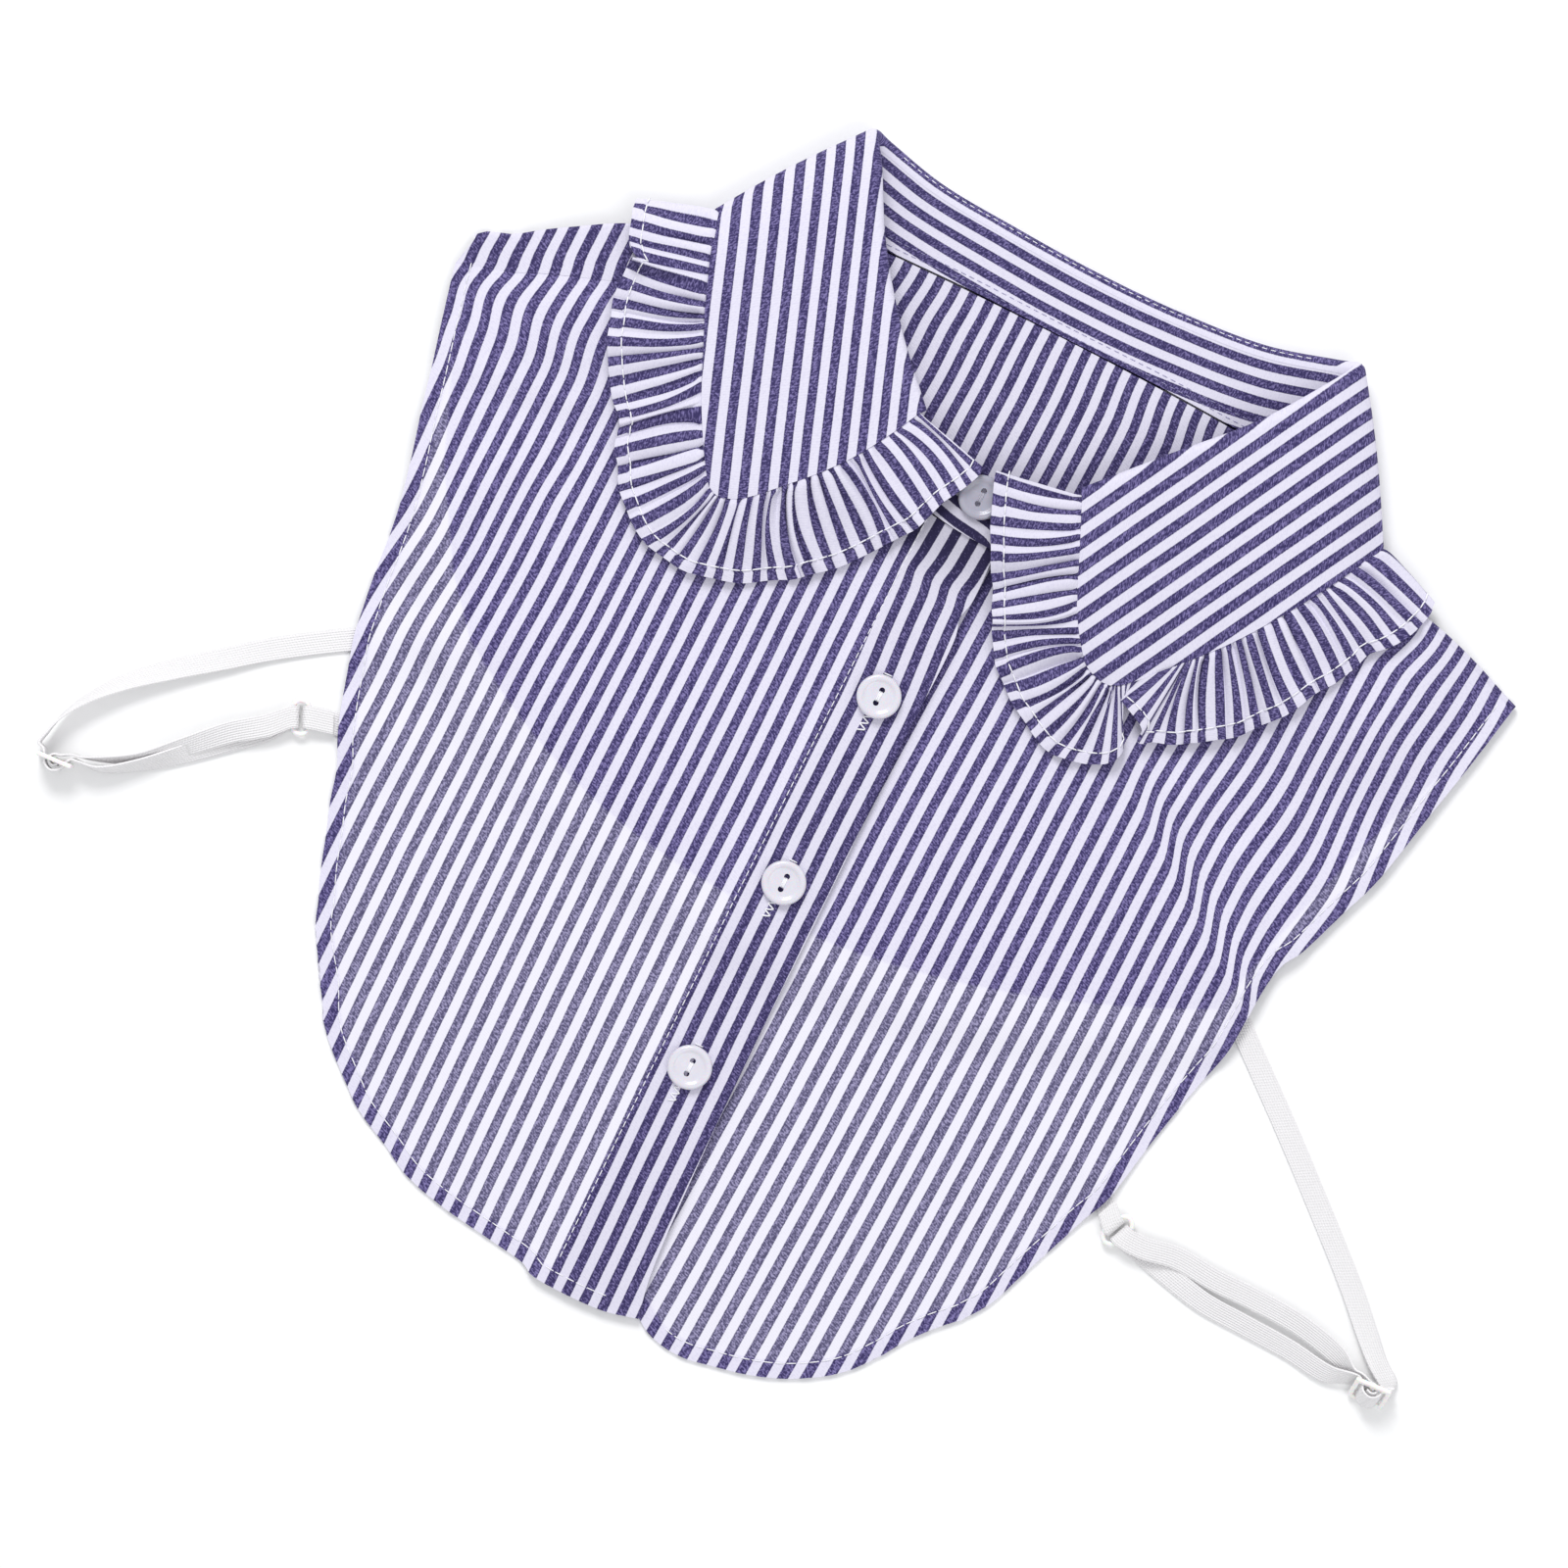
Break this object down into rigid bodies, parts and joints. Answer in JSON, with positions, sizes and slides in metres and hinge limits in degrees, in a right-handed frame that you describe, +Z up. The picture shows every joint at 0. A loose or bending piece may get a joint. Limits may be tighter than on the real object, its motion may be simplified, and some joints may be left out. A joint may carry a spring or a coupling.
{
  "type": "detachable shirt collar",
  "caption": "Striped cotton false shirt with a frilled turned-down collar, buttoned half fronts, a short back and elastic side straps, lying flat.",
  "frame": {"origin": "on the surface that the garment lies on, under the middle button of the front", "axes": "+X across the garment, +Y along the button band towards the neck, +Z up through the front"},
  "size_m": [0.3993, 0.316, 0.0178],
  "materials": {
    "shirting": "yarn-dyed blue and white striped cotton",
    "pearl_button": "polished pearly white",
    "elastic": "white ribbed elastic",
    "clear_plastic": "milky translucent plastic"
  },
  "bodies": {
    "root": {"front_over": "shirting", "front_under": "shirting", "back_panel": "shirting", "collar_stand": "shirting", "collar_leaf": "shirting", "collar_frill": "shirting", "button_1": "pearl_button", "button_2": "pearl_button", "button_3": "pearl_button", "button_4": "pearl_button", "elastic_left": "elastic", "elastic_right": "elastic", "tab_left": "elastic", "tab_right": "elastic", "ring_left": "clear_plastic", "ring_right": "clear_plastic", "slider_left": "clear_plastic", "slider_right": "clear_plastic"}
  },
  "joints": []
}
